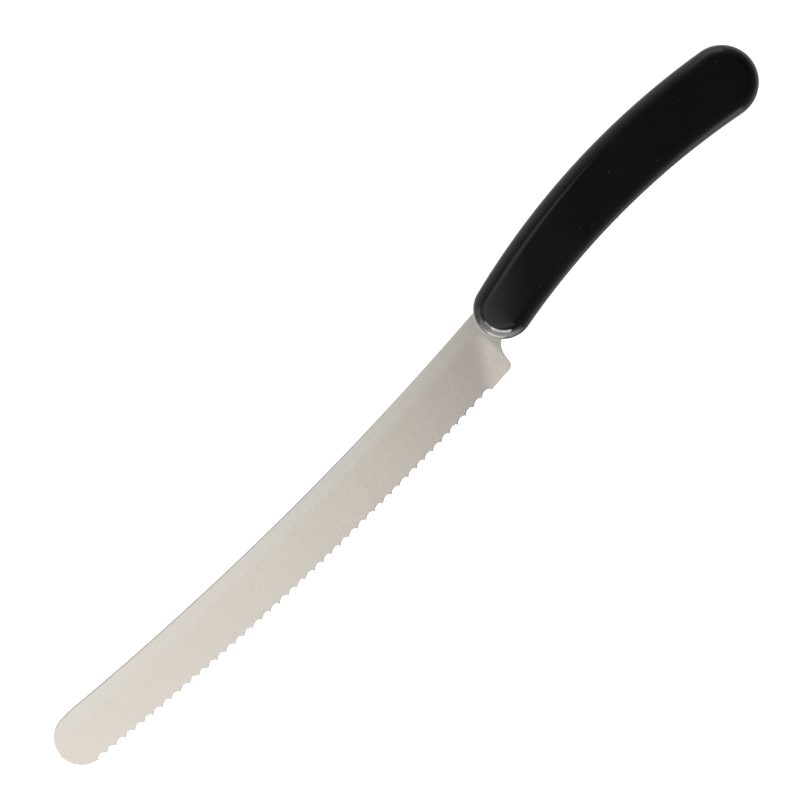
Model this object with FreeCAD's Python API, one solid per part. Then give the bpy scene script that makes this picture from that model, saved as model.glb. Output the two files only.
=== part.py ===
import FreeCAD, Part
import math
import os

# Bread knife lying on its side: a scalloped steel blade whose tang is bonded and pinned
# between two glossy black handle halves.
# Millimetres. +X runs from the blade tip to the butt, +Y from the cutting edge to the spine, and
# +Z up from the surface that the knife lies on. The pieces are drawn about a working point beside
# the handle's front end, then moved so that the origin is under the middle of the whole knife.

# Handle, seen flat: two round ends joined by a long back arc and a long belly arc
HANDLE_THICKNESS = 15.0
HANDLE_ROUNDING = 3.6
FRONT_END = (4.9, 3.3)
FRONT_END_RADIUS = 10.05
BUTT_END = (108.8, 5.25)
BUTT_END_RADIUS = 12.4
BACK_RADIUS = 268.0
BELLY_RADIUS = 271.7

# Blade, seen flat: a hollow spine arc, a bellied edge arc, and a round tip that runs smoothly into
# the edge and that a flatter shoulder arc joins to the spine
BLADE_THICKNESS = 1.5
SPINE_RADIUS = 1127.0
SPINE_DIP = (-88.9, 6.3)
EDGE_RADIUS = 1076.0
EDGE_BELLY = (-77.0, -14.45)
TIP_X = -204.2
TIP_RADIUS = 9.4
SHOULDER_RADIUS = 40.0
SPINE_ROUNDING = 0.2

# Heel: a plain strip of edge that stands a little below the teeth, then a notch up to the tang
HEEL_START_X = -18.9
HEEL_PROUD = 0.25
HEEL_CORNER_X = -6.15
HEEL_LEAN_DEG = 8.5
HEEL_CORNER_RADIUS = 2.3
NOTCH_RADIUS = 6.0

# Teeth: round scallops side by side, each ground as a cone from the underside
SCALLOP_COUNT = 45
SCALLOP_PITCH = 3.99
SCALLOP_DEPTH = 1.2
LAST_SCALLOP_X = -19.0
SCALLOP_BEVEL_WIDTH = 1.3
TOOTH_FLAT = 0.1
CUTTER_OVERRUN = 0.6

# Taper grind on both faces, from a flat land along the spine down to the edge
LAND_WIDTH = 5.0
EDGE_THICKNESS = 0.45
PLUNGE_X = -7.6
PLUNGE_RAMP_DEG = 16.0
TAPER_SWEEP_DEG = 12.0

# Tang, and what holds it inside the handle
TANG_MARGIN = 5.3
TANG_END_X = 88.0
TANG_END_RADIUS = 5.0
PIN_RADIUS = 2.0
PIN_LENGTH = 11.0
PIN_PLACES = {"front": 18.0, "middle": 49.0, "rear": 78.0}
PIN_CLEARANCE = 0.05
POCKET_CLEARANCE = 0.2
ADHESIVE_THICKNESS = 0.15
ADHESIVE_SETBACK = 0.3

# Values that follow from the ones above
MID_Z = HANDLE_THICKNESS / 2
FACE_Z = BLADE_THICKNESS / 2
POCKET_DEPTH = FACE_Z + ADHESIVE_THICKNESS
SPINE_CENTRE = (SPINE_DIP[0], SPINE_DIP[1] + SPINE_RADIUS)
EDGE_CENTRE = (EDGE_BELLY[0], EDGE_BELLY[1] + EDGE_RADIUS)
TIP_OFFSET_X = TIP_X + TIP_RADIUS - EDGE_CENTRE[0]
TIP_OFFSET_Y = math.sqrt((EDGE_RADIUS - TIP_RADIUS) ** 2 - TIP_OFFSET_X**2)
TIP_CENTRE = (EDGE_CENTRE[0] + TIP_OFFSET_X, EDGE_CENTRE[1] - TIP_OFFSET_Y)
WIDEST_BLADE = SPINE_DIP[1] - EDGE_BELLY[1]
TAPER_SLOPE = (BLADE_THICKNESS - EDGE_THICKNESS) / 2 / (WIDEST_BLADE - LAND_WIDTH)
SCALLOP_CHORD = SCALLOP_PITCH - TOOTH_FLAT
SCALLOP_RADIUS = (SCALLOP_CHORD**2 / 4 + SCALLOP_DEPTH**2) / (2 * SCALLOP_DEPTH)
UP = FreeCAD.Vector(0, 0, 1)

# Distances too small to matter when edges and faces are picked by where they lie
LEVEL = 1e-6
NEARBY = 1e-3


def point(place, z=0.0):
    return FreeCAD.Vector(place[0], place[1], z)


def circles_meet(centre_a, radius_a, centre_b, radius_b):
    """The two points where circle a crosses circle b, the one with the lower X first."""
    dx = centre_b[0] - centre_a[0]
    dy = centre_b[1] - centre_a[1]
    apart = math.hypot(dx, dy)
    along = (apart**2 + radius_a**2 - radius_b**2) / (2 * apart)
    aside = math.sqrt(radius_a**2 - along**2)
    foot = (centre_a[0] + along * dx / apart, centre_a[1] + along * dy / apart)
    one = (foot[0] + aside * dy / apart, foot[1] - aside * dx / apart)
    other = (foot[0] - aside * dy / apart, foot[1] + aside * dx / apart)
    return sorted([one, other])


def towards(start, target, distance):
    """The point at a distance from start on the line to target."""
    reach = math.hypot(target[0] - start[0], target[1] - start[1])
    share = distance / reach
    return (start[0] + share * (target[0] - start[0]), start[1] + share * (target[1] - start[1]))


def short_arc(centre, start, end):
    """The shorter arc about a centre from start to end."""
    radius = math.hypot(start[0] - centre[0], start[1] - centre[1])
    halfway = ((start[0] + end[0]) / 2, (start[1] + end[1]) / 2)
    crown = towards(centre, halfway, radius)
    return Part.Arc(point(start), point(crown), point(end)).toShape()


def end_arc(start, crown, end):
    return Part.Arc(point(start), point(crown), point(end)).toShape()


def line(start, end):
    return Part.makeLine(point(start), point(end))


def plate(edges, low, high):
    """A flat piece between two heights, from the edges of its outline in order."""
    face = Part.Face(Part.Wire(edges))
    face.translate(UP * low)
    return face.extrude(UP * (high - low))


def below(centre_a, reach_a, centre_b, reach_b):
    """The lower of the two points at given distances from two centres."""
    return min(circles_meet(centre_a, reach_a, centre_b, reach_b), key=lambda place: place[1])


BACK_CENTRE = below(
    FRONT_END, BACK_RADIUS - FRONT_END_RADIUS, BUTT_END, BACK_RADIUS - BUTT_END_RADIUS
)
BELLY_CENTRE = below(
    FRONT_END, BELLY_RADIUS + FRONT_END_RADIUS, BUTT_END, BELLY_RADIUS + BUTT_END_RADIUS
)


def handle_edges(inset):
    """The handle's outline, drawn in by the inset all round."""
    back = BACK_RADIUS - inset
    belly = BELLY_RADIUS + inset
    front_top = towards(BACK_CENTRE, FRONT_END, back)
    butt_top = towards(BACK_CENTRE, BUTT_END, back)
    butt_low = towards(BELLY_CENTRE, BUTT_END, belly)
    front_low = towards(BELLY_CENTRE, FRONT_END, belly)
    front_crown = (FRONT_END[0] - FRONT_END_RADIUS + inset, FRONT_END[1])
    butt_crown = (BUTT_END[0] + BUTT_END_RADIUS - inset, BUTT_END[1])
    return [
        short_arc(BACK_CENTRE, front_top, butt_top),
        end_arc(butt_top, butt_crown, butt_low),
        short_arc(BELLY_CENTRE, butt_low, front_low),
        end_arc(front_low, front_crown, front_top),
    ]


def spine_y(x):
    return SPINE_CENTRE[1] - math.sqrt(SPINE_RADIUS**2 - (x - SPINE_CENTRE[0]) ** 2)


def edge_y(x):
    return EDGE_CENTRE[1] - math.sqrt(EDGE_RADIUS**2 - (x - EDGE_CENTRE[0]) ** 2)


def tang_centre_y(x):
    """Height of the middle of the tang at a place along it."""
    high = BACK_CENTRE[1] + math.sqrt((BACK_RADIUS - TANG_MARGIN) ** 2 - (x - BACK_CENTRE[0]) ** 2)
    low = BELLY_CENTRE[1] + math.sqrt((BELLY_RADIUS + TANG_MARGIN) ** 2 - (x - BELLY_CENTRE[0]) ** 2)
    return (low + high) / 2


def heel_points():
    """The heel strip's start and corner, and where the heel line runs into the tang's low edge."""
    start = (HEEL_START_X, edge_y(HEEL_START_X) - HEEL_PROUD)
    corner = (HEEL_CORNER_X, edge_y(HEEL_CORNER_X) - HEEL_PROUD)
    lean = math.radians(HEEL_LEAN_DEG)
    rise = (math.sin(lean), math.cos(lean))
    gap = (corner[0] - BELLY_CENTRE[0], corner[1] - BELLY_CENTRE[1])
    half = gap[0] * rise[0] + gap[1] * rise[1]
    inside = gap[0] ** 2 + gap[1] ** 2 - (BELLY_RADIUS + TANG_MARGIN) ** 2
    reach = -half + math.sqrt(half**2 - inside)
    notch = (corner[0] + reach * rise[0], corner[1] + reach * rise[1])
    return start, corner, notch


def blank_edges():
    """Outline of the blade and its tang before the teeth are ground, from the spine round the tip."""
    shoulder_centre = below(
        SPINE_CENTRE, SPINE_RADIUS + SHOULDER_RADIUS, TIP_CENTRE, SHOULDER_RADIUS - TIP_RADIUS
    )
    spine_end = towards(SPINE_CENTRE, shoulder_centre, SPINE_RADIUS)
    tip_start = towards(shoulder_centre, TIP_CENTRE, SHOULDER_RADIUS)
    tip_crown = (TIP_X, TIP_CENTRE[1])
    tip_end = towards(EDGE_CENTRE, TIP_CENTRE, EDGE_RADIUS)
    heel_start, heel_corner, notch = heel_points()
    edge_end = (HEEL_START_X, edge_y(HEEL_START_X))
    tang_low_reach = BELLY_RADIUS + TANG_MARGIN
    tang_high_reach = BACK_RADIUS - TANG_MARGIN
    tang_low = (TANG_END_X, tang_end_y(BELLY_CENTRE, tang_low_reach))
    tang_high = (TANG_END_X, tang_end_y(BACK_CENTRE, tang_high_reach))
    tang_start = circles_meet(SPINE_CENTRE, SPINE_RADIUS, BACK_CENTRE, tang_high_reach)[0]
    return [
        short_arc(SPINE_CENTRE, tang_start, spine_end),
        short_arc(shoulder_centre, spine_end, tip_start),
        end_arc(tip_start, tip_crown, tip_end),
        short_arc(EDGE_CENTRE, tip_end, edge_end),
        line(edge_end, heel_start),
        line(heel_start, heel_corner),
        line(heel_corner, notch),
        short_arc(BELLY_CENTRE, notch, tang_low),
        line(tang_low, tang_high),
        short_arc(BACK_CENTRE, tang_high, tang_start),
    ]


def tang_end_y(centre, reach):
    return centre[1] + math.sqrt(reach**2 - (TANG_END_X - centre[0]) ** 2)


def upright_edges(solid, place):
    """The straight vertical edges of a plate that stand at a place in its outline."""
    found = []
    for edge in solid.Edges:
        ends = [vertex.Point for vertex in edge.Vertexes]
        upright = len(ends) == 2 and math.dist(ends[0][:2], ends[1][:2]) < LEVEL
        if upright and math.dist(ends[0][:2], place) < NEARBY:
            found.append(edge)
    return found


def blank(half_thickness, clearance=0.0):
    """The blade and tang as a plain plate; a clearance grows it all round."""
    edges = blank_edges()
    solid = plate(edges, -half_thickness, half_thickness)
    heel_corner, notch = heel_points()[1:]
    tang_low = (TANG_END_X, tang_end_y(BELLY_CENTRE, BELLY_RADIUS + TANG_MARGIN))
    tang_high = (TANG_END_X, tang_end_y(BACK_CENTRE, BACK_RADIUS - TANG_MARGIN))
    solid = solid.makeFillet(HEEL_CORNER_RADIUS, upright_edges(solid, heel_corner))
    solid = solid.makeFillet(NOTCH_RADIUS, upright_edges(solid, notch))
    for corner in (tang_low, tang_high):
        solid = solid.makeFillet(TANG_END_RADIUS, upright_edges(solid, corner))
    if clearance:
        floor = next(f for f in solid.Faces if abs(f.CenterOfMass.z + half_thickness) < LEVEL)
        grown = floor.makeOffset2D(clearance)
        solid = grown.extrude(UP * (2 * half_thickness))
    return solid


def round_spine(solid):
    """Rounds the borders of both faces along the spine, the shoulder and the tip. The rounding runs
    on along the edge, where the grinds remove it."""
    lowest = TIP_CENTRE[1] - TIP_RADIUS / 2
    edges = []
    for edge in solid.Edges:
        level = edge.BoundBox.ZLength < LEVEL
        if level and edge.CenterOfMass.x < HEEL_START_X and edge.CenterOfMass.y > lowest:
            edges.append(edge)
    return solid.makeFillet(SPINE_ROUNDING, edges)


def taper_cutter():
    """The wedge that one grind takes off the upper face: its floor slopes down from the land
    towards the edge, round the spine arc's centre, and it ends in a ramp short of the heel."""
    land_end = SPINE_RADIUS + LAND_WIDTH
    start = land_end - CUTTER_OVERRUN / TAPER_SLOPE
    end = land_end + WIDEST_BLADE
    top = FACE_Z + CUTTER_OVERRUN
    profile = Part.makePolygon(
        [
            FreeCAD.Vector(start, 0, top),
            FreeCAD.Vector(end, 0, FACE_Z - TAPER_SLOPE * WIDEST_BLADE),
            FreeCAD.Vector(end, 0, top),
            FreeCAD.Vector(start, 0, top),
        ]
    )
    face = Part.Face(profile)
    face.rotate(FreeCAD.Vector(0, 0, 0), UP, -90 + math.degrees(-SPINE_DIP[0] / SPINE_RADIUS))
    wedge = face.revolve(FreeCAD.Vector(0, 0, 0), UP, -TAPER_SWEEP_DEG)
    wedge.translate(point(SPINE_CENTRE))
    return wedge.cut(plunge_keeper())


def plunge_keeper():
    """What the taper grind leaves at the heel: everything behind a ramp rising towards the handle."""
    run = BLADE_THICKNESS / math.tan(math.radians(PLUNGE_RAMP_DEG))
    low = FACE_Z - BLADE_THICKNESS
    high = FACE_Z + BLADE_THICKNESS
    behind = PLUNGE_X + WIDEST_BLADE
    side = Part.makePolygon(
        [
            FreeCAD.Vector(PLUNGE_X - run, 0, low),
            FreeCAD.Vector(PLUNGE_X + run, 0, high),
            FreeCAD.Vector(behind, 0, high),
            FreeCAD.Vector(behind, 0, low),
            FreeCAD.Vector(PLUNGE_X - run, 0, low),
        ]
    )
    wide = 3 * WIDEST_BLADE
    keeper = Part.Face(side).extrude(FreeCAD.Vector(0, wide, 0))
    keeper.translate(FreeCAD.Vector(0, -wide / 2, 0))
    return keeper


def scallop_cutters():
    """One cone for each scallop, widening downwards, so the bevel is on the underside only."""
    flare = SCALLOP_BEVEL_WIDTH / EDGE_THICKNESS
    outside = SCALLOP_RADIUS - SCALLOP_DEPTH
    first = math.asin((LAST_SCALLOP_X - EDGE_CENTRE[0]) / EDGE_RADIUS)
    cutters = []
    for number in range(SCALLOP_COUNT):
        angle = first - number * SCALLOP_PITCH / EDGE_RADIUS
        reach = EDGE_RADIUS + outside
        x = EDGE_CENTRE[0] + reach * math.sin(angle)
        y = EDGE_CENTRE[1] - reach * math.cos(angle)
        width = spine_y(x) - edge_y(x)
        face_z = FACE_Z - TAPER_SLOPE * (width - LAND_WIDTH)
        top = face_z + CUTTER_OVERRUN
        bottom = -face_z - CUTTER_OVERRUN
        cone = Part.makeCone(
            SCALLOP_RADIUS + flare * (face_z - bottom),
            SCALLOP_RADIUS - flare * CUTTER_OVERRUN,
            top - bottom,
        )
        cone.translate(FreeCAD.Vector(x, y, bottom))
        cutters.append(cone)
    return cutters


def pin(name, radius, half_length):
    """An upright round pin through the middle of the tang, centred on the handle's middle plane."""
    x = PIN_PLACES[name]
    return Part.makeCylinder(radius, 2 * half_length, FreeCAD.Vector(x, tang_centre_y(x), -half_length))


def pin_holes(half_length):
    return [pin(name, PIN_RADIUS + PIN_CLEARANCE, half_length) for name in PIN_PLACES]


def blade():
    """The blade with its tang. The scallops are cut one by one before the taper thins the edge."""
    solid = round_spine(blank(FACE_Z))
    for cutter in scallop_cutters():
        solid = solid.cut(cutter)
    upper = taper_cutter()
    lower = upper.mirror(FreeCAD.Vector(0, 0, 0), UP)
    solid = solid.cut([upper, lower])
    return solid.cut(pin_holes(BLADE_THICKNESS))


def handle_half(upper):
    """One half of the handle, hollowed for the tang and for half of each pin."""
    solid = plate(handle_edges(0.0), 0.0, MID_Z)
    rim = [edge for edge in solid.Edges if edge.BoundBox.ZMin > MID_Z - LEVEL]
    solid = solid.makeFillet(HANDLE_ROUNDING, rim)
    solid = solid.cut(blank(POCKET_DEPTH, POCKET_CLEARANCE))
    solid = solid.cut(pin_holes(PIN_LENGTH / 2 + PIN_CLEARANCE))
    return solid if upper else solid.mirror(FreeCAD.Vector(0, 0, 0), UP)


def adhesive(upper):
    """The thin bed of adhesive between one face of the tang and the pocket's floor."""
    solid = blank(POCKET_DEPTH).common(plate(handle_edges(ADHESIVE_SETBACK), FACE_Z, POCKET_DEPTH))
    solid = solid.cut(pin_holes(BLADE_THICKNESS))
    return solid if upper else solid.mirror(FreeCAD.Vector(0, 0, 0), UP)


def pieces():
    made = {
        "blade": blade(),
        "handle_upper_half": handle_half(True),
        "handle_lower_half": handle_half(False),
        "tang_adhesive_upper": adhesive(True),
        "tang_adhesive_lower": adhesive(False),
    }
    for name in PIN_PLACES:
        made["tang_pin_" + name] = pin(name, PIN_RADIUS, PIN_LENGTH / 2)
    return made


def to_row_frame():
    """The move that puts the origin under the middle of the whole knife."""
    low_x = TIP_X
    high_x = BUTT_END[0] + BUTT_END_RADIUS
    low_y = EDGE_BELLY[1]
    high_y = BACK_CENTRE[1] + BACK_RADIUS
    # the crown of the back arc is the knife's highest place and the belly of the edge its lowest
    return FreeCAD.Vector(-(low_x + high_x) / 2, -(low_y + high_y) / 2, MID_Z)


def main():
    os.makedirs("parts", exist_ok=True)
    move = to_row_frame()
    for name, shape in pieces().items():
        shape.translate(move)
        solid = shape.Solids[0]
        solid.exportStep("parts/" + name + ".step")
        print(name, len(shape.Solids), solid.isValid(), round(solid.Volume, 1), solid.BoundBox)


main()
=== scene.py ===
import math

import bmesh
import bpy
import numpy as np
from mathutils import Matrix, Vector


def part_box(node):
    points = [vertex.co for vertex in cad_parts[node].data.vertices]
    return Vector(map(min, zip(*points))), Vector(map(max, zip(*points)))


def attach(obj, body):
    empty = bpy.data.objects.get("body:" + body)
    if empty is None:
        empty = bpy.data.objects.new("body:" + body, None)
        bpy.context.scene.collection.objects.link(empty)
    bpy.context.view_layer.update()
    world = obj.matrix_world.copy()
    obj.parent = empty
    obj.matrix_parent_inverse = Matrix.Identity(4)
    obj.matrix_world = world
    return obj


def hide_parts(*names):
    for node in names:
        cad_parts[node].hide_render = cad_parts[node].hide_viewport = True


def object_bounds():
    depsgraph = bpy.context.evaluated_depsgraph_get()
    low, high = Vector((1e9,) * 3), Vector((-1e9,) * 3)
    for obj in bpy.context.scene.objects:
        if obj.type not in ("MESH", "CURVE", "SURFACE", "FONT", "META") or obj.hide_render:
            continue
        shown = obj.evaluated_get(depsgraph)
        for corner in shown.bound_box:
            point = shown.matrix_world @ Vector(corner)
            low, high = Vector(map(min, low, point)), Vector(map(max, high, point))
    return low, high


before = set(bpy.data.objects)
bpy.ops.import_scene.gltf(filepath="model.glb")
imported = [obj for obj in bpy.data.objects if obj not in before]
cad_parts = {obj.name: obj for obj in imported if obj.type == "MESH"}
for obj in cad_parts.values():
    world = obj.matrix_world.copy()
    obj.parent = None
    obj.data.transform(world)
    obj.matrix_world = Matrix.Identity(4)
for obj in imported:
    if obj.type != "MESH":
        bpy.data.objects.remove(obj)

# Bread knife lying flat: finer meshes for the blade and the two handle halves, the hidden pins and
# adhesive beds as packed, and a glowing white table with soft studio lights under a camera that
# looks straight down. The knife's lengths are millimetres about a working point beside the handle's
# front end, as in the CAD source, with heights from the knife's middle plane. to_row() turns them
# into metres in the row frame. The table, the lights and the camera's distance are in metres.
MM = 0.001
CAD_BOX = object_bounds()

# Handle outline: two round ends joined by a back arc and a belly arc
FRONT_END = np.array([4.9, 3.3])
FRONT_RADIUS = 10.05
BUTT_END = np.array([108.8, 5.25])
BUTT_RADIUS = 12.4
BACK_RADIUS = 268.0
BELLY_RADIUS = 271.7

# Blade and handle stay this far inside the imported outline
HAIR = 0.012

# Handle section: a flat face with a wide elliptical border, and a fine groove at the seam
HALF_HEIGHT = 7.5
BORDER_HEIGHT = 4.8
BORDER_WIDTH = 5.0
SEAM = 0.08
END_STEPS = 120
SIDE_STEPS = 260
BORDER_STEPS = 28
HANDLE_SHARP_DEG = 30

# Blade outline
SPINE_RADIUS = 1127.0
SPINE_CENTRE = np.array([-88.9, 6.3 + SPINE_RADIUS])
EDGE_RADIUS = 1076.0
EDGE_CENTRE = np.array([-77.0, -14.45 + EDGE_RADIUS])
TIP_X = -204.2
TIP_RADIUS = 9.4
TIP_STEPS = 42
SHOULDER_RADIUS = 40.0
HEEL_START_X = -18.9
HEEL_PROUD = 0.25
HEEL_CORNER_X = -6.15
HEEL_LEAN = math.radians(8.5)
HEEL_CORNER_RADIUS = 2.3
HEEL_CORNER_STEPS = 14
HEEL_STRIP_SPACING = 0.25
HEEL_LINE_SPACING = 0.3
NOTCH_RADIUS = 6.0
NOTCH_STEPS = 26
TANG_MARGIN = 5.3
TANG_END_X = 88.0
TANG_END_RADIUS = 5.0
TANG_SPACING = 0.5
TANG_SPACING_GROWTH = 1.25
TANG_WIDEST_SPACING = 2.0

# Scallops: round cuts with bevels on the underside and a narrow worn rim on the upper face
SCALLOP_COUNT = 45
SCALLOP_PITCH = 3.99
SCALLOP_DEPTH = 1.2
TOOTH_FLAT = 0.1
SCALLOP_CHORD = SCALLOP_PITCH - TOOTH_FLAT
SCALLOP_RADIUS = (SCALLOP_CHORD**2 / 4 + SCALLOP_DEPTH**2) / (2 * SCALLOP_DEPTH)
LAST_SCALLOP_X = -19.0
SCALLOP_STEPS = 16
BEVEL_WIDTH = 1.3
BEVEL_SEARCH = 3.0
BEVEL_SEARCH_STEPS = 40
BEVEL_USUAL_REACH = 1.5
TOOTH_RIM_WIDTH = 0.26
TOOTH_RIM_DROP = 0.13
TOOTHED_END_X = HEEL_START_X + 3.0
BEVELLED_END_X = HEEL_START_X + 6.0

# Blade section: a flat land along the spine, a taper grind below it that ends in a soft plunge
# before the handle, and rounded rims
HALF_BLADE = 0.75
EDGE_THICKNESS = 0.45
LAND_WIDTH = 5.0
WIDEST_BLADE = 20.75
TAPER_SLOPE = (2 * HALF_BLADE - EDGE_THICKNESS) / 2 / (WIDEST_BLADE - LAND_WIDTH)
LAND_SOFTNESS = 0.35
PLUNGE_X = -6.0
PLUNGE_CORNER = 4.0
PLUNGE_SLOPE = math.tan(math.radians(2.8))
PLUNGE_SOFTNESS = 2.0
SPINE_ROUNDING = 0.55
HEEL_ROUNDING = 0.08
ROUNDING_LIMIT = 1 / 3
SHARPNESS = 0.02
RING_STEPS = 9
BLADE_SHARP_DEG = 15

# Rows of points across the blade: near the edge, on the grind, and by their distance from the
# spine where the grind meets the land
PLAIN_EDGE_SHARE = 0.1
EDGE_ROWS = 7
GRIND_ROWS = 16
LAND_ROWS = np.array([6.6, 6.0, 5.6, 5.3, 5.0, 4.7, 4.4, 4.0, 3.4, 2.5, 1.6, 0.8])

# What holds the tang
PIN_NAMES = ("tang_pin_front", "tang_pin_middle", "tang_pin_rear")
PIN_HOLE_RADIUS = 2.05
PIN_HOLE_HALF = 5.55
POCKET_HALF = 0.9
POCKET_CLEARANCE = 0.2
POCKET_START_X = -12.0
POCKET_STEPS = 60
POCKET_CORNER_STEPS = 10
POCKET_CORNER_GAP = 0.2
POCKET_END_GAP = 0.5
HOLE_STEPS = 48

# Points of a mesh closer than this are joined, and edges shorter than this are removed
WELD = 0.002
SLIVER = 0.001


def circles_meet(centre_a, radius_a, centre_b, radius_b):
    """Both points where two circles cross, the one with the lower X first."""
    gap = centre_b - centre_a
    apart = np.linalg.norm(gap)
    along = (apart**2 + radius_a**2 - radius_b**2) / (2 * apart)
    aside = math.sqrt(radius_a**2 - along**2)
    foot = centre_a + along * gap / apart
    side = np.array([gap[1], -gap[0]]) / apart * aside
    return sorted([foot + side, foot - side], key=lambda place: place[0])


def below(centre_a, reach_a, centre_b, reach_b):
    """The lower of the two points at given distances from two centres."""
    return min(circles_meet(centre_a, reach_a, centre_b, reach_b), key=lambda place: place[1])


def tip_centre():
    """The tip circle touches the edge arc from the inside."""
    aside = TIP_X + TIP_RADIUS - EDGE_CENTRE[0]
    return EDGE_CENTRE + np.array([aside, -math.sqrt((EDGE_RADIUS - TIP_RADIUS) ** 2 - aside**2)])


BACK_CENTRE = below(FRONT_END, BACK_RADIUS - FRONT_RADIUS, BUTT_END, BACK_RADIUS - BUTT_RADIUS)
BELLY_CENTRE = below(FRONT_END, BELLY_RADIUS + FRONT_RADIUS, BUTT_END, BELLY_RADIUS + BUTT_RADIUS)
TIP_CENTRE = tip_centre()
SHOULDER_CENTRE = below(
    SPINE_CENTRE, SPINE_RADIUS + SHOULDER_RADIUS, TIP_CENTRE, SHOULDER_RADIUS - TIP_RADIUS
)


def middle_of_outline():
    """The middle of the knife's outline seen from above, the teeth's cuts left aside."""
    low_x = TIP_X
    high_x = BUTT_END[0] + BUTT_RADIUS
    low_y = EDGE_CENTRE[1] - EDGE_RADIUS
    high_y = BACK_CENTRE[1] + BACK_RADIUS
    return np.array([(low_x + high_x) / 2, (low_y + high_y) / 2])


MIDDLE = middle_of_outline()
BOX_MIDDLE = (CAD_BOX[0] + CAD_BOX[1]) / 2


def to_row(points):
    """Working millimetres, heights from the middle plane, to metres in the row frame."""
    points = np.asarray(points, float)
    moved = points * MM
    moved[:, 0] += BOX_MIDDLE.x - MIDDLE[0] * MM
    moved[:, 1] += BOX_MIDDLE.y - MIDDLE[1] * MM
    moved[:, 2] += BOX_MIDDLE.z
    return moved


def angle_of(vector):
    """The direction of a vector from +X, in radians."""
    return math.atan2(vector[1], vector[0])


def around(centre, radius, start, end, steps, hollow=False):
    """Points along an arc and their outward normals. A hollow arc has its outside at the centre."""
    angles = np.linspace(start, end, steps, endpoint=False)
    rays = np.stack([np.cos(angles), np.sin(angles)], axis=1)
    return centre + radius * rays, -rays if hollow else rays


# ---------------------------------------------------------------- handle


def handle_outline():
    """Clockwise points and normals: front end, back, butt end, belly."""
    turn = 2 * math.pi
    front_low = angle_of(BELLY_CENTRE - FRONT_END)
    front_high = angle_of(FRONT_END - BACK_CENTRE) - turn
    butt_high = angle_of(BUTT_END - BACK_CENTRE)
    butt_low = angle_of(BELLY_CENTRE - BUTT_END)
    belly_start = angle_of(BUTT_END - BELLY_CENTRE)
    belly_end = angle_of(FRONT_END - BELLY_CENTRE)
    parts = [
        around(FRONT_END, FRONT_RADIUS, front_low, front_high, END_STEPS),
        around(BACK_CENTRE, BACK_RADIUS, front_high + turn, butt_high, SIDE_STEPS),
        around(BUTT_END, BUTT_RADIUS, butt_high, butt_low, END_STEPS),
        around(BELLY_CENTRE, BELLY_RADIUS, belly_start, belly_end, SIDE_STEPS, hollow=True),
    ]
    return np.concatenate([part[0] for part in parts]), np.concatenate([part[1] for part in parts])


def border_rings():
    """Inset and height of each ring from the seam up the wall and over the border to the face."""
    wall = HALF_HEIGHT - BORDER_HEIGHT
    rings = [(SEAM, 0.0), (0.0, SEAM), (0.0, wall / 2)]
    for step in range(BORDER_STEPS + 1):
        turn = math.radians(90) * step / BORDER_STEPS
        rings.append((BORDER_WIDTH * (1 - math.cos(turn)), wall + BORDER_HEIGHT * math.sin(turn)))
    return rings


def across(ring, count):
    """Quads straight across a closed ring, from its back side to its belly side."""
    faces = []
    half = END_STEPS // 2
    for step in range(count // 2):
        a = ring + (half + step) % count
        b = ring + (half + step + 1) % count
        c = ring + (half - step - 1) % count
        d = ring + (half - step) % count
        corners = list(dict.fromkeys([a, b, c, d]))
        if len(corners) > 2:
            faces.append(corners)
    return faces


def half_shell(upper):
    """Vertices and faces of one handle half before it is hollowed."""
    points, normals = handle_outline()
    count = len(points)
    vertices = []
    faces = []
    rings = border_rings()
    for inset, height in rings:
        place = points - normals * (HAIR + inset)
        vertices.append(np.column_stack([place, np.full(count, height)]))
    for ring in range(len(rings) - 1):
        for step in range(count):
            after = (step + 1) % count
            low = ring * count
            faces.append([low + step, low + after, low + count + after, low + count + step])
    faces += across(0, count)
    faces += across((len(rings) - 1) * count, count)
    vertices = np.concatenate(vertices)
    if not upper:
        vertices[:, 2] *= -1
    return vertices, faces


def mesh_object(name, vertices, faces):
    """A new object from working coordinates, with its faces turned outwards."""
    mesh = bpy.data.meshes.new(name)
    mesh.from_pydata(to_row(vertices).tolist(), [], faces)
    work = bmesh.new()
    work.from_mesh(mesh)
    bmesh.ops.remove_doubles(work, verts=work.verts, dist=WELD * MM)
    bmesh.ops.dissolve_degenerate(work, edges=work.edges, dist=SLIVER * MM)
    bmesh.ops.recalc_face_normals(work, faces=work.faces)
    work.to_mesh(mesh)
    work.free()
    piece = bpy.data.objects.new(name, mesh)
    bpy.context.scene.collection.objects.link(piece)
    return piece


def prism(name, outline, low, high):
    """An outline raised from one height to another."""
    count = len(outline)
    flat = np.asarray(outline)
    bottom = np.column_stack([flat, np.full(count, low)])
    top = np.column_stack([flat, np.full(count, high)])
    faces = [list(range(count)), list(range(count, 2 * count))]
    for step in range(count):
        after = (step + 1) % count
        faces.append([step, after, count + after, count + step])
    return mesh_object(name, np.concatenate([bottom, top]), faces)


def carve(piece, cutter):
    """Takes the cutter's shape out of a piece and removes the cutter."""
    modifier = piece.modifiers.new("carve", "BOOLEAN")
    modifier.operation = "DIFFERENCE"
    modifier.solver = "EXACT"
    modifier.object = cutter
    bpy.context.view_layer.update()
    graph = bpy.context.evaluated_depsgraph_get()
    made = bpy.data.meshes.new_from_object(piece.evaluated_get(graph))
    piece.modifiers.clear()
    piece.data = made
    bpy.data.objects.remove(cutter)


def shade(piece, sharp_deg):
    """Smooth shading, except across edges sharper than an angle."""
    piece.data.shade_smooth()
    piece.data.set_sharp_from_angle(angle=math.radians(sharp_deg))


def pin_centres():
    """The middle of each packed pin, in working millimetres."""
    centres = []
    for name in PIN_NAMES:
        low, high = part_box(name)
        middle = (low + high) / 2
        x = (middle.x - BOX_MIDDLE.x) / MM + MIDDLE[0]
        y = (middle.y - BOX_MIDDLE.y) / MM + MIDDLE[1]
        centres.append((x, y))
    return centres


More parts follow.
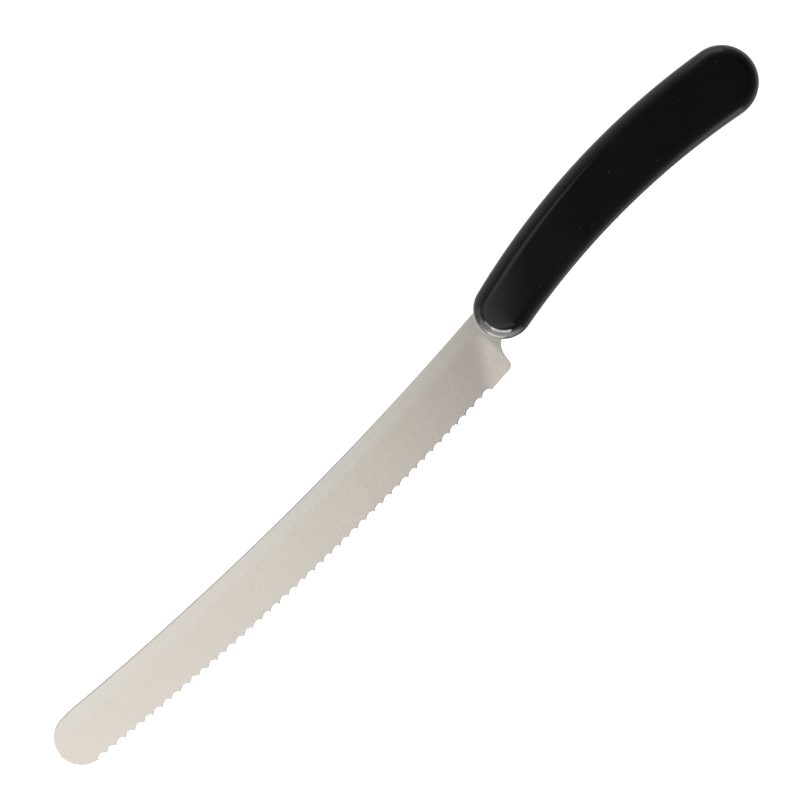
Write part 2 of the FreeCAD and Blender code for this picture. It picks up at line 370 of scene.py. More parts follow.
def circle(centre, radius, steps):
    """Points on a circle."""
    angles = np.linspace(0, 2 * math.pi, steps, endpoint=False)
    return np.column_stack([centre[0] + radius * np.cos(angles), centre[1] + radius * np.sin(angles)])


def handle_half(name, upper):
    """One half of the handle, hollowed for its side of the tang and the pins."""
    vertices, faces = half_shell(upper)
    piece = mesh_object(name, vertices, faces)
    carve(piece, prism("pocket", tang_pocket(), -POCKET_HALF, POCKET_HALF))
    for centre in pin_centres():
        outline = circle(centre, PIN_HOLE_RADIUS, HOLE_STEPS)
        carve(piece, prism("pin_hole", outline, -PIN_HOLE_HALF, PIN_HOLE_HALF))
    shade(piece, HANDLE_SHARP_DEG)
    return piece


# ---------------------------------------------------------------- blade outline


def upper_side(xs):
    """Points and outward normals on the upper outline: tip, shoulder, spine and tang."""
    shoulder = SHOULDER_CENTRE
    tip_turn = TIP_CENTRE + TIP_RADIUS * (TIP_CENTRE - shoulder) / np.linalg.norm(TIP_CENTRE - shoulder)
    up = SPINE_CENTRE - shoulder
    spine_turn = shoulder + SHOULDER_RADIUS * up / np.linalg.norm(up)
    tang_reach = BACK_RADIUS - TANG_MARGIN
    tang_turn = circles_meet(SPINE_CENTRE, SPINE_RADIUS, BACK_CENTRE, tang_reach)[0]
    points = []
    normals = []
    for x in xs:
        if x < tip_turn[0]:
            centre, radius, side = TIP_CENTRE, TIP_RADIUS, 1
        elif x < spine_turn[0]:
            centre, radius, side = shoulder, SHOULDER_RADIUS, 1
        elif x < tang_turn[0]:
            centre, radius, side = SPINE_CENTRE, SPINE_RADIUS, -1
        else:
            centre, radius, side = BACK_CENTRE, tang_reach, 1
        rise = math.sqrt(max(radius**2 - (x - centre[0]) ** 2, 0.0))
        place = np.array([x, centre[1] + side * rise])
        points.append(place)
        normals.append(side * (place - centre) / radius)
    return np.array(points), np.array(normals)


def edge_y(x):
    """The edge arc that the teeth's tips lie on."""
    return EDGE_CENTRE[1] - math.sqrt(EDGE_RADIUS**2 - (x - EDGE_CENTRE[0]) ** 2)


def scallop_centres():
    """Centres of the scallop circles from the tip to the heel, with the edge's inward normals."""
    first = math.asin((LAST_SCALLOP_X - EDGE_CENTRE[0]) / EDGE_RADIUS)
    numbers = np.arange(SCALLOP_COUNT)[::-1]
    angles = first - numbers * SCALLOP_PITCH / EDGE_RADIUS
    inward = np.column_stack([-np.sin(angles), np.cos(angles)])
    reach = EDGE_RADIUS + SCALLOP_RADIUS - SCALLOP_DEPTH
    return EDGE_CENTRE - reach * inward, inward


def line_meets_circle(start, end, centre, radius):
    """The crossing with the higher X."""
    along = (end - start) / np.linalg.norm(end - start)
    gap = start - centre
    half = gap @ along
    reach = -half + math.sqrt(half**2 - (gap @ gap - radius**2))
    return start + reach * along


def corner_arc(before, corner, after, radius, steps):
    """Points of the arc that rounds a corner between two straight lines."""
    first = (before - corner) / np.linalg.norm(before - corner)
    second = (after - corner) / np.linalg.norm(after - corner)
    half = math.acos(np.clip(first @ second, -1, 1)) / 2
    reach = radius / math.tan(half)
    middle = (first + second) / np.linalg.norm(first + second)
    centre = corner + middle * radius / math.sin(half)
    start = corner + first * reach - centre
    end = corner + second * reach - centre
    turn = math.atan2(start[0] * end[1] - start[1] * end[0], start @ end)
    points = []
    for share in np.linspace(0, 1, steps):
        angle = turn * share
        spin = np.array([[math.cos(angle), -math.sin(angle)], [math.sin(angle), math.cos(angle)]])
        points.append(centre + spin @ start)
    return points


def spaced(start, end, step):
    """Points between two places, both left out."""
    count = max(int(np.linalg.norm(end - start) / step), 1)
    return [start + (end - start) * share for share in np.linspace(0, 1, count + 1)[1:-1]]


def scallop_side():
    """The tip's lower arc and the scallops, with outward normals that ignore the cuts."""
    centres, inward = scallop_centres()
    widest = math.asin(SCALLOP_CHORD / 2 / SCALLOP_RADIUS)
    first_cut = circles_meet(centres[0], SCALLOP_RADIUS, TIP_CENTRE, TIP_RADIUS)[0]
    tip_angle = angle_of(first_cut - TIP_CENTRE) % (2 * math.pi)
    tip_angles = np.linspace(math.pi, tip_angle, TIP_STEPS)
    rays = np.column_stack([np.cos(tip_angles), np.sin(tip_angles)])
    points = list(TIP_CENTRE + TIP_RADIUS * rays)
    normals = list(rays)
    heel_start, heel_corner = heel_line()
    last_cut = line_meets_circle(heel_start, heel_corner, centres[-1], SCALLOP_RADIUS)
    for number, (centre, inner) in enumerate(zip(centres, inward)):
        right = np.array([inner[1], -inner[0]])
        low, high = -widest, widest
        if number == 0:
            low = math.atan2((first_cut - centre) @ right, (first_cut - centre) @ inner)
        if number == SCALLOP_COUNT - 1:
            high = math.atan2((last_cut - centre) @ right, (last_cut - centre) @ inner)
        first_step = 1 if number == 0 else 0
        for angle in np.linspace(low, high, SCALLOP_STEPS + 1)[first_step:]:
            ray = math.sin(angle) * right + math.cos(angle) * inner
            points.append(centre + SCALLOP_RADIUS * ray)
            normals.append(-inner)
    return points, normals


def heel_line():
    """The two ends of the plain strip between the teeth and the heel's corner."""
    start = np.array([HEEL_START_X, edge_y(HEEL_START_X) - HEEL_PROUD])
    corner = np.array([HEEL_CORNER_X, edge_y(HEEL_CORNER_X) - HEEL_PROUD])
    return start, corner


def notch_place():
    """Where the heel's short side would run into the tang's low edge."""
    corner = heel_line()[1]
    rise = np.array([math.sin(HEEL_LEAN), math.cos(HEEL_LEAN)])
    gap = corner - BELLY_CENTRE
    half = gap @ rise
    reach = -half + math.sqrt(half**2 - (gap @ gap - (BELLY_RADIUS + TANG_MARGIN) ** 2))
    return corner + reach * rise


def tang_low(x):
    """A point on the tang's low edge."""
    reach = BELLY_RADIUS + TANG_MARGIN
    return np.array([x, BELLY_CENTRE[1] + math.sqrt(reach**2 - (x - BELLY_CENTRE[0]) ** 2)])


def heel_side(start):
    """The plain strip, the heel's corner and short side, the notch and the tang's low edge."""
    strip_start, corner = heel_line()
    notch = notch_place()
    beyond = tang_low(notch[0] + NOTCH_RADIUS)
    corner_points = corner_arc(strip_start, corner, notch, HEEL_CORNER_RADIUS, HEEL_CORNER_STEPS)
    notch_points = corner_arc(corner, notch, beyond, NOTCH_RADIUS, NOTCH_STEPS)
    points = spaced(start, corner_points[0], HEEL_STRIP_SPACING) + corner_points
    points += spaced(corner_points[-1], notch_points[0], HEEL_LINE_SPACING) + notch_points
    reach_x = notch_points[-1][0] + TANG_SPACING
    step = TANG_SPACING
    while reach_x < TANG_END_X:
        points.append(tang_low(reach_x))
        step = min(step * TANG_SPACING_GROWTH, TANG_WIDEST_SPACING)
        reach_x += step
    points.append(tang_low(TANG_END_X))
    return points


def outward(points):
    """Normals on the right-hand side of a run of points."""
    along = np.gradient(np.array(points), axis=0)
    along /= np.linalg.norm(along, axis=1)[:, None]
    return np.column_stack([along[:, 1], -along[:, 0]])


def lower_side():
    """Points and outward normals on the lower outline from the tip to the tang's end."""
    points, normals = scallop_side()
    heel = heel_side(points[-1])
    heel_normals = outward([points[-1]] + heel)[1:]
    return np.array(points + heel), np.array(normals + list(heel_normals))


def tang_pocket():
    """The tang's outline grown by the clearance, reaching out of the handle's front."""
    end = TANG_END_X + POCKET_CLEARANCE
    edge, edge_normals = lower_side()
    keep = (edge[:, 0] > POCKET_START_X) & (edge[:, 0] < TANG_END_X - POCKET_END_GAP)
    low = (edge + edge_normals * POCKET_CLEARANCE)[keep]
    spine, spine_normals = upper_side(np.linspace(POCKET_START_X, end, POCKET_STEPS))
    high = spine + spine_normals * POCKET_CLEARANCE
    low_end = tang_low(TANG_END_X) + np.array([POCKET_CLEARANCE, -POCKET_CLEARANCE])
    high_end = np.array([end, high[-1, 1]])
    low_corner = corner_arc(low[-1], low_end, high_end, TANG_END_RADIUS, POCKET_CORNER_STEPS)
    high_corner = corner_arc(low_end, high_end, high[-3], TANG_END_RADIUS, POCKET_CORNER_STEPS)
    high = high[high[:, 0] < high_corner[-1][0] - POCKET_CORNER_GAP][::-1]
    low = low[low[:, 0] < low_corner[0][0] - POCKET_CORNER_GAP]
    return np.array(list(low) + low_corner + high_corner + list(high))


# ---------------------------------------------------------------- blade section


def soft_ramp(values, softness):
    """Zero below zero and the value above it, with a rounded corner."""
    return softness * np.logaddexp(0.0, values / softness)


def half_thickness(x, y):
    """Half the blade's thickness where the taper grind and its rounded plunge have thinned it."""
    depth_in = np.hypot(x - SPINE_CENTRE[0], y - SPINE_CENTRE[1]) - SPINE_RADIUS
    taper = TAPER_SLOPE * soft_ramp(depth_in - LAND_WIDTH, LAND_SOFTNESS)
    corner = np.clip(LAND_WIDTH + PLUNGE_CORNER - depth_in, 0.0, PLUNGE_CORNER)
    edge = PLUNGE_X - (PLUNGE_CORNER - np.sqrt(PLUNGE_CORNER**2 - corner**2))
    plunge = PLUNGE_SLOPE * soft_ramp(edge - x, LAND_SOFTNESS)
    smooth = PLUNGE_SOFTNESS * TAPER_SLOPE
    cut = -smooth * np.logaddexp(-taper / smooth, -plunge / smooth)
    return HALF_BLADE - np.clip(cut, 0.0, None)


def bevel_height(points, edge_half):
    """Height of the scallop bevels, which rise from the underside to the face at the teeth."""
    centres = scallop_centres()[0]
    gap = points[:, None, :] - centres[None, :, :]
    nearest = np.sqrt((gap**2).sum(axis=2)).min(axis=1)
    return edge_half - (nearest - SCALLOP_RADIUS) * EDGE_THICKNESS / BEVEL_WIDTH


def bevel_reach(point, inner, edge_half, reach):
    """How far the bevels reach in from the outline along a column."""
    steps = np.linspace(0.0, min(reach, BEVEL_SEARCH), BEVEL_SEARCH_STEPS)
    places = point[None, :] + inner[None, :] * steps[:, None]
    heights = bevel_height(places, edge_half)
    inside = heights < -edge_half
    return steps[np.argmax(inside)] if inside.any() else BEVEL_USUAL_REACH


def row_shares(low_share):
    """Shares along a column from its lower rim to its upper rim."""
    near = np.linspace(0.0, low_share, EDGE_ROWS)
    land = 1.0 - LAND_ROWS / WIDEST_BLADE
    middle = low_share + (land[0] - low_share) * np.linspace(0, 1, GRIND_ROWS)[1:-1]
    return np.concatenate([near, middle, land, [1.0]])


def tang_trim(low, high):
    """Rounds the tang's two end corners by drawing in the last columns."""
    start = TANG_END_X - TANG_END_RADIUS
    for side, sign in ((low, 1), (high, -1)):
        past = np.clip(side[:, 0] - start, 0.0, TANG_END_RADIUS)
        side[:, 1] += sign * (TANG_END_RADIUS - np.sqrt(TANG_END_RADIUS**2 - past**2))


def columns():
    """Points of each column from the lower outline to the upper one, how far each lies below the
    flat face, and the blade's half thickness at each column's lower end."""
    low, low_normals = lower_side()
    high, high_normals = upper_side(low[:, 0])
    low = low - HAIR * low_normals
    high = high - HAIR * high_normals
    tip = low[:, 0] < low[TIP_STEPS, 0]
    toothed = ~tip & (low[:, 0] < TOOTHED_END_X)
    tang_trim(low, high)
    low_round = np.where(tip, SPINE_ROUNDING, np.where(toothed, TOOTH_RIM_WIDTH, HEEL_ROUNDING))
    turn = np.linspace(0, math.radians(90), RING_STEPS + 1)
    inset = 1 - np.cos(turn)
    drop = 1 - np.sin(turn)
    edge_half = half_thickness(low[:, 0], low[:, 1])
    grid = []
    drops = []
    for index in range(len(low)):
        chord = high[index, 1] - low[index, 1]
        low_r = min(low_round[index], chord * ROUNDING_LIMIT)
        high_r = min(SPINE_ROUNDING, chord * ROUNDING_LIMIT)
        low_ring = low[index] - low_normals[index] * inset[:, None] * low_r
        high_ring = high[index] - high_normals[index] * inset[:, None] * high_r
        span = high_ring[-1] - low_ring[-1]
        length = np.linalg.norm(span)
        share = PLAIN_EDGE_SHARE
        if toothed[index]:
            inner = span / length
            share = bevel_reach(low[index], inner, edge_half[index], length) / length
        shares = row_shares(share)[1:-1]
        inside = low_ring[-1] + shares[:, None] * span
        grid.append(np.concatenate([low_ring, inside, high_ring[::-1]]))
        low_drop = TOOTH_RIM_DROP if toothed[index] else low_r
        flat = np.zeros(len(inside))
        drops.append(np.concatenate([drop * low_drop, flat, drop[::-1] * high_r]))
    return np.array(grid), np.array(drops), edge_half


def blade_heights(grid, drops, edge_half):
    """Top and bottom heights of every point of the columns."""
    shape = grid.shape[:2]
    flat = grid.reshape(-1, 2)
    half = half_thickness(flat[:, 0], flat[:, 1]).reshape(shape)
    top = half - drops
    bottom = drops - half
    near = np.repeat(edge_half, shape[1])
    bevel = bevel_height(flat, near).reshape(shape)
    near_teeth = grid[:, 0, 0] < BEVELLED_END_X
    bevelled = np.maximum(bottom, np.where(near_teeth[:, None], bevel, bottom))
    return top, np.minimum(bevelled, top - SHARPNESS)


def blade_piece():
    """Blade and tang in one: upper and lower faces over the same grid of columns, closed round."""
    grid, drops, edge_half = columns()
    top, bottom = blade_heights(grid, drops, edge_half)
    count, rows = grid.shape[:2]
    flat = grid.reshape(-1, 2)
    upper = np.column_stack([flat, top.ravel()])
    lower = np.column_stack([flat, bottom.ravel()])
    under = count * rows
    faces = []
    for column in range(count - 1):
        for row in range(rows - 1):
            a = column * rows + row
            quad = [a, a + rows, a + rows + 1, a + 1]
            faces.append(quad)
            faces.append([under + corner for corner in reversed(quad)])
        for row in (0, rows - 1):
            a = column * rows + row
            faces.append([a, a + rows, under + a + rows, under + a])
    for row in range(rows - 1):
        for column in (0, count - 1):
            a = column * rows + row
            faces.append([a, a + 1, under + a + 1, under + a])
    piece = mesh_object("blade_fine", np.concatenate([upper, lower]), faces)
    for centre in pin_centres():
        outline = circle(centre, PIN_HOLE_RADIUS, HOLE_STEPS)
        carve(piece, prism("pin_hole", outline, -2 * HALF_BLADE, 2 * HALF_BLADE))
    shade(piece, BLADE_SHARP_DEG)
    return piece


# ---------------------------------------------------------------- materials


class Nodes:
    """A short way to add and join shader nodes."""

    def __init__(self, name):
        self.material = bpy.data.materials.new(name)
        self.material.use_nodes = True
        self.tree = self.material.node_tree
        self.surface = self.tree.nodes["Principled BSDF"]

    def add(self, kind, inputs=(), **settings):
        node = self.tree.nodes.new(kind)
        for name, value in settings.items():
            setattr(node, name, value)
        for socket, value in dict(inputs).items():
            self.put(node.inputs[socket], value)
        return node

    def put(self, socket, value):
        """Links a socket to another one, or sets it to a constant."""
        if isinstance(value, bpy.types.NodeSocket):
            self.tree.links.new(value, socket)
        else:
            socket.default_value = value

    def place(self):
        return self.add("ShaderNodeTexCoord").outputs["Object"]

    def turned(self, angle, scale):
        """Object coordinates turned about Z and stretched."""
        spin = self.add("ShaderNodeMapping", {"Vector": self.place(), "Rotation": (0, 0, angle)})
        stretch = self.add("ShaderNodeMapping", {"Vector": spin.outputs[0], "Scale": scale})
        return stretch.outputs[0]

    def noise(self, vector, scale=1.0, detail=3.0):
        inputs = {"Vector": vector, "Scale": scale, "Detail": detail}
        return self.add("ShaderNodeTexNoise", inputs).outputs["Fac"]

    def ramp(self, value, span, levels=(0.0, 1.0)):
        """A straight ramp between two levels over a span of values, flat outside it."""
        inputs = {0: value, 1: span[0], 2: span[1], 3: levels[0], 4: levels[1]}
        return self.add("ShaderNodeMapRange", inputs).outputs[0]

    def math(self, operation, a, b=0.0):
        return self.add("ShaderNodeMath", {0: a, 1: b}, operation=operation).outputs[0]

    def mix(self, share, a, b):
        """Colour a at share 0 and colour b at share 1."""
        node = self.add("ShaderNodeMix", data_type="RGBA")
        self.put(node.inputs[0], share)
        self.put(node.inputs[6], a)
        self.put(node.inputs[7], b)
        return node.outputs[2]

    def bump(self, height, distance):
        return self.add("ShaderNodeBump", {"Height": height, "Distance": distance}).outputs[0]

    def set(self, **values):
        """Sets the surface's own sockets, named with underscores for spaces."""
        for name, value in values.items():
            self.put(self.surface.inputs[name.replace("_", " ")], value)


# Most of a noise pattern's values lie in this span
NOISE_SPAN = (0.3, 0.7)
NOISE_CORE = (0.35, 0.65)

# Blade: the ground taper is a shade warmer than the rolled land. Each colour has a dark and a pale
# end, and stretched noise gives lines along the grinding direction. FINISH_SOFTNESS is half the
# width of the border between the two finishes, in millimetres.
GROUND_DARK = (0.63, 0.585, 0.535, 1)
GROUND_PALE = (0.735, 0.685, 0.63, 1)
ROLLED_DARK = (0.66, 0.635, 0.60, 1)
ROLLED_PALE = (0.73, 0.705, 0.665, 1)
STAIN = (0.70, 0.652, 0.595, 1)
STAIN_SHARE = 0.3
STAIN_SCALE = 60.0
GRAIN_ANGLE = math.radians(15)
FINE_GRAIN = (3600, 260, 260)
BROAD_GRAIN = (700, 60, 60)
FINE_SHARE = 0.8
SATIN_ROUGHNESS = (0.32, 0.26)
GRAIN_DEPTH = 0.0000008
FINISH_SOFTNESS = 0.9

# Handle: nearly black, with hairline scratches in patches and a few grains of dust
BLACK_LOW = (0.0037, 0.004, 0.0035, 1)
BLACK_HIGH = (0.0052, 0.0055, 0.0049, 1)
BLACK_ROUGHNESS = (0.08, 0.12)
PLASTIC_IOR = 1.4
HAZE_SCALE = 45.0
PEEL_SCALE = 260.0
PEEL_DEPTH = 0.000003
SCRATCH_ANGLE = math.radians(62)
SCRATCH_STRETCH = (2600, 90, 90)
SCRATCH_SPAN = (0.7, 0.76)
SCRATCH_PATCH_SCALE = 95.0
SCRATCH_PATCH_SPAN = (0.58, 0.68)
SCRATCH_SHARE = 0.4
SCRATCH_GREY = (0.035, 0.036, 0.034, 1)
DUST_SCALE = 1300.0
DUST_SPAN = (0.87, 0.9)
DUST_SHARE = 0.2
DUST_GREY = (0.12, 0.12, 0.11, 1)

# Hidden pieces
ROD_DARK = (0.45, 0.44, 0.42, 1)
ROD_PALE = (0.6, 0.59, 0.57, 1)
ROD_STRETCH = (300, 300, 6000)
ROD_ROUGHNESS = (0.3, 0.42)
GLUE_DARK = (0.16, 0.13, 0.09, 1)
GLUE_PALE = (0.28, 0.24, 0.17, 1)
GLUE_SCALE = 180.0
GLUE_ROUGHNESS = (0.5, 0.65)
GLUE_RELIEF = 0.00002


def ground_share(nodes):
    """One on the taper grind and zero on the land along the spine and behind the plunge."""
    centre = tuple(to_row([(SPINE_CENTRE[0], SPINE_CENTRE[1], 0.0)])[0])
    gap = nodes.add("ShaderNodeVectorMath", {0: nodes.place(), 1: centre}, operation="DISTANCE")
    border = (SPINE_RADIUS + LAND_WIDTH) * MM
    soft = FINISH_SOFTNESS * MM
    below_land = nodes.ramp(gap.outputs["Value"], (border - soft, border + soft))
    plunge = to_row([(PLUNGE_X, 0.0, 0.0)])[0][0]
    along = nodes.add("ShaderNodeSeparateXYZ", {0: nodes.place()}).outputs[0]
    before_heel = nodes.ramp(along, (plunge - 2 * soft, plunge + 2 * soft), (1.0, 0.0))
    return nodes.math("MULTIPLY", below_land, before_heel)


def satin_steel(name):
    """Stainless sheet with a satin finish: fine lines across the blade and faint stains."""
    nodes = Nodes(name)
    fine = nodes.noise(nodes.turned(GRAIN_ANGLE, FINE_GRAIN), detail=2.0)
    broad = nodes.noise(nodes.turned(GRAIN_ANGLE, BROAD_GRAIN), detail=3.0)
    cloud = nodes.noise(nodes.place(), scale=STAIN_SCALE, detail=3.0)
    fine_part = nodes.math("MULTIPLY", fine, FINE_SHARE)
    broad_part = nodes.math("MULTIPLY", broad, 1 - FINE_SHARE)
    lines = nodes.math("ADD", fine_part, broad_part)
    tone = nodes.ramp(lines, NOISE_SPAN)
    ground = nodes.mix(tone, GROUND_DARK, GROUND_PALE)
    rolled = nodes.mix(tone, ROLLED_DARK, ROLLED_PALE)
    colour = nodes.mix(ground_share(nodes), rolled, ground)
    colour = nodes.mix(nodes.ramp(cloud, NOISE_CORE, (0.0, STAIN_SHARE)), colour, STAIN)
    rough = nodes.ramp(lines, NOISE_SPAN, SATIN_ROUGHNESS)
    normal = nodes.bump(lines, GRAIN_DEPTH)
    nodes.set(Base_Color=colour, Roughness=rough, Normal=normal, Metallic=1.0)
    return nodes.material


def scratch_share(nodes):
    """Hairlines in one direction that show only in some patches."""
    hairs = nodes.noise(nodes.turned(SCRATCH_ANGLE, SCRATCH_STRETCH), detail=1.0)
    patches = nodes.noise(nodes.place(), scale=SCRATCH_PATCH_SCALE, detail=1.0)
    seen_hairs = nodes.ramp(hairs, SCRATCH_SPAN)
    seen_patches = nodes.ramp(patches, SCRATCH_PATCH_SPAN, (0.0, SCRATCH_SHARE))
    return nodes.math("MULTIPLY", seen_hairs, seen_patches)


def gloss_black(name):
    """Moulded black plastic: polished, with faint orange peel, scratches and dust."""
    nodes = Nodes(name)
    peel = nodes.noise(nodes.place(), scale=PEEL_SCALE, detail=2.0)
    haze = nodes.noise(nodes.place(), scale=HAZE_SCALE, detail=4.0)
    colour = nodes.mix(nodes.ramp(haze, NOISE_CORE), BLACK_LOW, BLACK_HIGH)
    colour = nodes.mix(scratch_share(nodes), colour, SCRATCH_GREY)
    grains = nodes.noise(nodes.place(), scale=DUST_SCALE, detail=0.0)
    colour = nodes.mix(nodes.ramp(grains, DUST_SPAN, (0.0, DUST_SHARE)), colour, DUST_GREY)
    rough = nodes.ramp(haze, NOISE_SPAN, BLACK_ROUGHNESS)
    nodes.set(Base_Color=colour, Roughness=rough, Normal=nodes.bump(peel, PEEL_DEPTH))
    nodes.set(IOR=PLASTIC_IOR)
    return nodes.material


def pin_steel(name):
    """Drawn steel rod with fine lines round it."""
    nodes = Nodes(name)
    lines = nodes.noise(nodes.turned(0.0, ROD_STRETCH), detail=2.0)
    colour = nodes.mix(lines, ROD_DARK, ROD_PALE)
    rough = nodes.ramp(lines, NOISE_SPAN, ROD_ROUGHNESS)
    nodes.set(Base_Color=colour, Roughness=rough, Metallic=1.0)
    return nodes.material


def cured_adhesive(name):
    """Cured epoxy: dull amber grey with small bubbles."""
    nodes = Nodes(name)
    cloud = nodes.noise(nodes.place(), scale=GLUE_SCALE, detail=3.0)
    rough = nodes.ramp(cloud, NOISE_SPAN, GLUE_ROUGHNESS)
    nodes.set(Base_Color=nodes.mix(cloud, GLUE_DARK, GLUE_PALE), Roughness=rough)
    nodes.set(Normal=nodes.bump(cloud, GLUE_RELIEF))
    return nodes.material


def give(piece, material):
    """Makes a material the only one on a piece."""
    piece.data.materials.clear()
    piece.data.materials.append(material)


# ---------------------------------------------------------------- studio


# Table: a glowing white top, which the glossy pieces don't mirror
TABLE_HALF_SIZE = 3.0
TABLE_GREY = (0.6, 0.6, 0.6, 1)
TABLE_ROUGHNESS = 0.9
TABLE_GLOW = 0.95
WHITE = (1.0, 1.0, 1.0, 1)

# Light colours
COOL = (0.97, 0.985, 1.0)
LEFT_TINT = (0.97, 1.0, 0.97)
BACK_TINT = (0.97, 1.0, 0.95)
WARM = (1.0, 0.99, 0.968)

# The box overhead lies level, shifted towards the blade
OVERHEAD_SIZE = (1.1, 1.3)
OVERHEAD_RADIANCE = 0.95
OVERHEAD_PLACE = (-0.445, 0.1, 1.1)
OVERHEAD_TURN = math.radians(-12)

# The room: a pale bench below the horizon all round. On the lit side the walls fade upwards; on
# the shaded side they are dim and end low. A glow spreads over the bench before the blade.
# Spans of height are the upward part of a direction of length one, and the other spans are cosines
# of the angle from an azimuth.
ROOM_COLOUR = (0.98, 1.0, 0.97, 1)
LIT_AZIMUTH = 115
LIT_EDGE = (-0.25, 0.35)
LIT_RADIANCE = 0.88
LIT_FADE = (0.05, 1.0)
BENCH_RADIANCE = 0.78
SHADE_RADIANCE = 0.17
SHADE_FOOT = (-0.2, 0.12)
SHADE_TOP = (0.4, 0.7)
GLOW_AZIMUTH = 215
GLOW_EDGE = (0.5, 0.95)
GLOW_RADIANCE = 6.5
GLOW_RISE = (-0.75, -0.15)
GLOW_FADE = (0.1, 0.5)

# Camera straight above a point in working millimetres, turned so that the blade points down and
# to the left
CAMERA_HEIGHT = 0.9
VIEW_WIDTH = 0.2654
SENSOR = 36.0
VIEW_MIDDLE = (-40.7, 6.16, 0.0)
VIEW_TURN = math.radians(-45)
NEAR_CLIP = 0.01
FAR_CLIP = 20.0


def light_table():
    """A glowing white table top that the knife lies on."""
    size = TABLE_HALF_SIZE
    level = CAD_BOX[0].z
    corners = [(-size, -size, level), (size, -size, level), (size, size, level), (-size, size, level)]
    mesh = bpy.data.meshes.new("table_top")
    mesh.from_pydata(corners, [], [(0, 1, 2, 3)])
    table = bpy.data.objects.new("table_top", mesh)
    bpy.context.scene.collection.objects.link(table)
    nodes = Nodes("table_white")
    nodes.set(Base_Color=TABLE_GREY, Roughness=TABLE_ROUGHNESS)
    nodes.set(Emission_Color=WHITE, Emission_Strength=TABLE_GLOW)
    give(table, nodes.material)
    table.visible_glossy = False


def area_light(name, colour, size, radiance):
    """A rectangular light whose face has a given radiance."""
    width, height = size
    data = bpy.data.lights.new(name, "AREA")
    data.shape = "RECTANGLE"
    data.size = width
    data.size_y = height
    data.energy = radiance * width * height * math.pi
    data.color = colour
    lamp = bpy.data.objects.new(name, data)
    bpy.context.scene.collection.objects.link(lamp)
    return lamp


def softbox(name, colour, azimuth, elevation, distance, size, radiance):
    """A rectangular light that faces the middle of the knife."""
    lamp = area_light(name, colour, size, radiance)
    turn = math.radians(azimuth)
    rise = math.radians(elevation)
    ray = Vector((math.cos(turn) * math.cos(rise), math.sin(turn) * math.cos(rise), math.sin(rise)))
    lamp.location = ray * distance
    lamp.rotation_euler = ray.to_track_quat("Z", "Y").to_euler()


def overhead_box():
    """The level light whose reflection the blade's flat faces show."""
    lamp = area_light("overhead", WARM, OVERHEAD_SIZE, OVERHEAD_RADIANCE)
    lamp.location = OVERHEAD_PLACE
    lamp.rotation_euler = (0, 0, OVERHEAD_TURN)


class Surroundings(Nodes):
    """The nodes of the world round the table."""

    def __init__(self, world):
        self.tree = world.node_tree
        self.surface = self.tree.nodes["Background"]

    def way(self):
        """The direction looked in, of length one."""
        return self.add("ShaderNodeTexCoord").outputs["Generated"]

    def towards(self, azimuth):
        """How far the direction looked in points to an azimuth."""
        turn = math.radians(azimuth)
        inputs = {0: self.way(), 1: (math.cos(turn), math.sin(turn), 0.0)}
        return self.add("ShaderNodeVectorMath", inputs, operation="DOT_PRODUCT").outputs["Value"]

    def height(self):
        return self.add("ShaderNodeSeparateXYZ", {0: self.way()}).outputs[2]

    def product(self, *values):
        total = values[0]
        for value in values[1:]:
            total = self.math("MULTIPLY", total, value)
        return total


def room(world):
    """Pale bench, walls with a lit and a shaded side, and the glow before the blade."""
    nodes = Surroundings(world)
    height = nodes.height()
    lit_side = nodes.ramp(nodes.towards(LIT_AZIMUTH), LIT_EDGE)
    lit = nodes.ramp(height, LIT_FADE, (LIT_RADIANCE, 0.0))
    shaded_side = nodes.math("SUBTRACT", 1.0, lit_side)
    shade_low = nodes.ramp(height, SHADE_FOOT, (BENCH_RADIANCE, SHADE_RADIANCE))
    shaded = nodes.product(shade_low, nodes.ramp(height, SHADE_TOP, (1.0, 0.0)))
    walls = nodes.math("ADD", nodes.product(lit_side, lit), nodes.product(shaded_side, shaded))
    near_front = nodes.ramp(nodes.towards(GLOW_AZIMUTH), GLOW_EDGE, (0.0, GLOW_RADIANCE))
    rising = nodes.ramp(height, GLOW_RISE)
    fading = nodes.ramp(height, GLOW_FADE, (1.0, 0.0))
    level = nodes.math("ADD", walls, nodes.product(near_front, rising, fading))
    nodes.set(Color=ROOM_COLOUR, Strength=level)


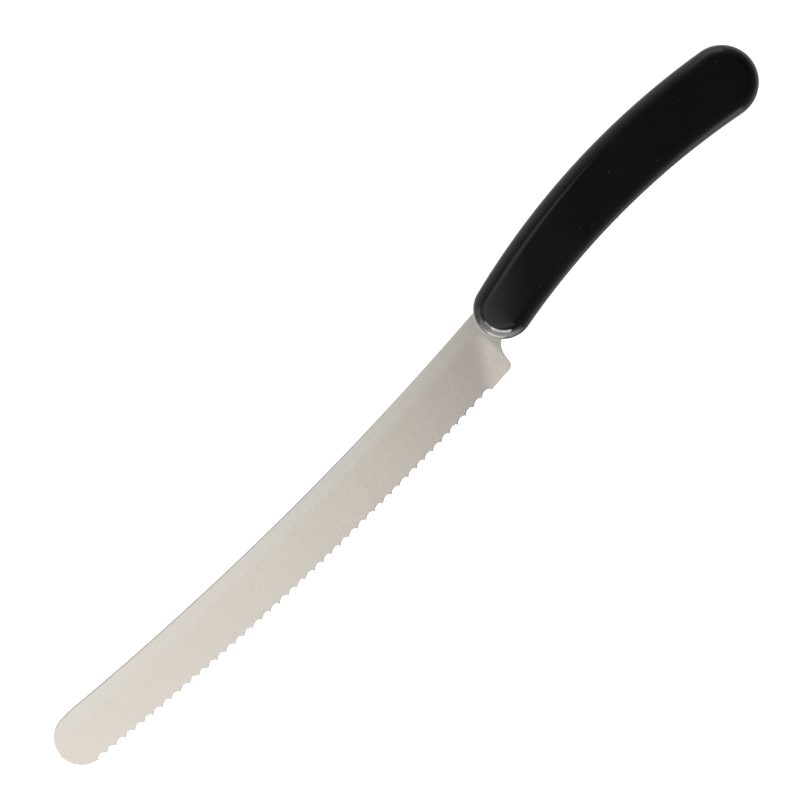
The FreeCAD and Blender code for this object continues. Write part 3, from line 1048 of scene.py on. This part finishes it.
def studio():
    """Two strong low boxes before the knife, two weak ones beside and behind, one overhead."""
    softbox(
        "front_box", COOL, azimuth=221, elevation=31, distance=1.1, size=(0.95, 0.46), radiance=15.0
    )
    softbox(
        "front_side_box", COOL, azimuth=186, elevation=32, distance=1.15, size=(0.6, 0.36), radiance=7.5
    )
    softbox(
        "left_wall", LEFT_TINT, azimuth=152, elevation=10, distance=1.25, size=(0.9, 0.6), radiance=1.0
    )
    softbox(
        "back_box", BACK_TINT, azimuth=50, elevation=14, distance=1.3, size=(0.7, 0.8), radiance=0.7
    )
    overhead_box()
    world = bpy.data.worlds.new("studio")
    bpy.context.scene.world = world
    world.use_nodes = True
    room(world)


def camera():
    """A long lens straight above the middle of the view."""
    data = bpy.data.cameras.new("camera")
    data.sensor_width = SENSOR
    data.lens = SENSOR * CAMERA_HEIGHT / VIEW_WIDTH
    data.clip_start = NEAR_CLIP
    data.clip_end = FAR_CLIP
    eye = bpy.data.objects.new("camera", data)
    bpy.context.scene.collection.objects.link(eye)
    eye.location = to_row([VIEW_MIDDLE])[0] + np.array([0.0, 0.0, CAMERA_HEIGHT])
    eye.rotation_euler = (0, 0, VIEW_TURN)
    bpy.context.scene.camera = eye


# ---------------------------------------------------------------- build


def build():
    """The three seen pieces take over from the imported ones; the hidden ones only get materials."""
    blade = blade_piece()
    upper = handle_half("handle_upper_fine", True)
    lower = handle_half("handle_lower_fine", False)
    steel = satin_steel("satin_steel")
    black = gloss_black("gloss_black")
    for piece, node, slot, material in (
        (blade, "blade", "blade_steel", steel),
        (upper, "handle_upper_half", "handle_black", black),
        (lower, "handle_lower_half", "handle_black", black),
    ):
        give(piece, material)
        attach(piece, "root")
        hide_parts(node)
    rod = pin_steel("pin_rod_steel")
    glue = cured_adhesive("cured_adhesive")
    for name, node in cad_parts.items():
        if name in PIN_NAMES:
            give(node, rod)
        elif name.startswith("tang_adhesive"):
            give(node, glue)


build()
light_table()
studio()
camera()
bpy.context.scene.view_settings.view_transform = "Standard"
